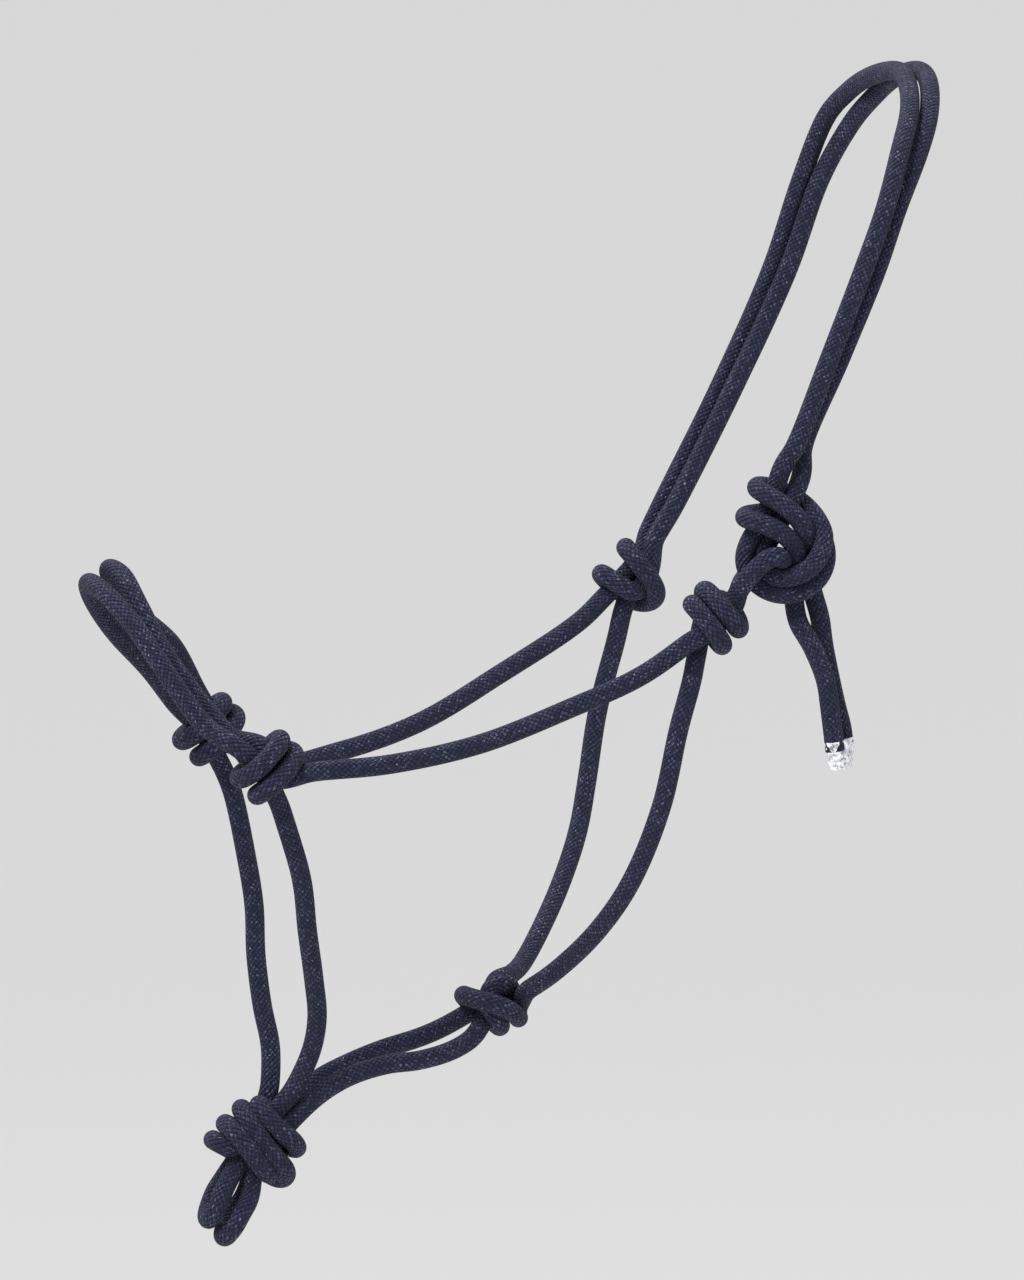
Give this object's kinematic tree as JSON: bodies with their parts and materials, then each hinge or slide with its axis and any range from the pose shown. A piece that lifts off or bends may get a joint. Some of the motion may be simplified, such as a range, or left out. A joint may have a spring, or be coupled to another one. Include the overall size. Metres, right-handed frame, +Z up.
{
  "type": "rope halter",
  "caption": "Knotted rope halter for a horse: doubled crown and noseband, cheek, jaw and throat strands joined by knots, lead loops under the chin, and a tied, whipped crown tail.",
  "frame": {"origin": "underside of the two crown strands where they lie over the poll, on the halter's centre plane", "axes": "+X from the nose back to the poll, +Y to the horse's right, +Z up; the halter hangs as worn, with the tie on the horse's left at -Y"},
  "size_m": [0.376, 0.2184, 0.5117],
  "materials": {
    "rope": "matt navy plaited fibre",
    "whipping": "crinkled clear film with a silvery sheen"
  },
  "bodies": {
    "crown": {"crown_strand_front": "rope", "crown_strand_rear": "rope", "tie_knot": "rope", "eye_loop": "rope"},
    "cheeks": {"cheek_knot_left": "rope", "cheek_knot_right": "rope", "cheek_strand_left": "rope", "cheek_strand_right": "rope", "nose_knot_left": "rope", "nose_knot_right": "rope"},
    "noseband": {"nose_strand_lower": "rope", "nose_strand_upper": "rope"},
    "drops": {"drop_strand_left": "rope", "drop_strand_right": "rope", "chin_knot": "rope"},
    "jaw": {"jaw_strand_left": "rope", "jaw_strand_right": "rope"},
    "throatlatch": {"throat_knot": "rope", "throat_strand_left": "rope", "throat_strand_right": "rope"},
    "lead_loops": {"lead_loop_front": "rope", "lead_loop_rear": "rope"},
    "tail": {"tail_strand_left": "rope", "tail_strand_right": "rope", "tail_tip": "whipping"}
  },
  "joints": [
    {"name": "cheek_swing", "type": "hinge", "parent": "crown", "child": "cheeks", "pos_m": [-0.1055, 0, -0.224], "axis": [0, 1, 0], "range_deg": [-10, 10]},
    {"name": "noseband_tilt", "type": "hinge", "parent": "cheeks", "child": "noseband", "pos_m": [-0.301, 0, -0.285], "axis": [0, 1, 0], "range_deg": [-18, 18]},
    {"name": "drop_swing", "type": "hinge", "parent": "cheeks", "child": "drops", "pos_m": [-0.301, 0, -0.285], "axis": [0, 1, 0], "range_deg": [-7, 2]},
    {"name": "jaw_swing", "type": "hinge", "parent": "drops", "child": "jaw", "pos_m": [-0.292, 0, -0.46], "axis": [0, 1, 0], "range_deg": [-6.5, 15]},
    {"name": "throat_swing", "type": "hinge", "parent": "cheeks", "child": "throatlatch", "pos_m": [-0.1055, 0, -0.224], "axis": [0, 1, 0], "range_deg": [-9.6, 4.2]},
    {"name": "lead_loop_swing", "type": "hinge", "parent": "drops", "child": "lead_loops", "pos_m": [-0.292, 0, -0.46], "axis": [0, 1, 0], "range_deg": [-9, 18]},
    {"name": "tail_swing", "type": "hinge", "parent": "crown", "child": "tail", "pos_m": [-0.07, -0.097, -0.216], "axis": [0, 1, 0], "range_deg": [-18, 18]}
  ],
  "couplings": [
    {"joint": "jaw_swing", "follows": "drop_swing", "ratio": -2.07},
    {"joint": "throat_swing", "follows": "drop_swing", "ratio": 1.334}
  ]
}
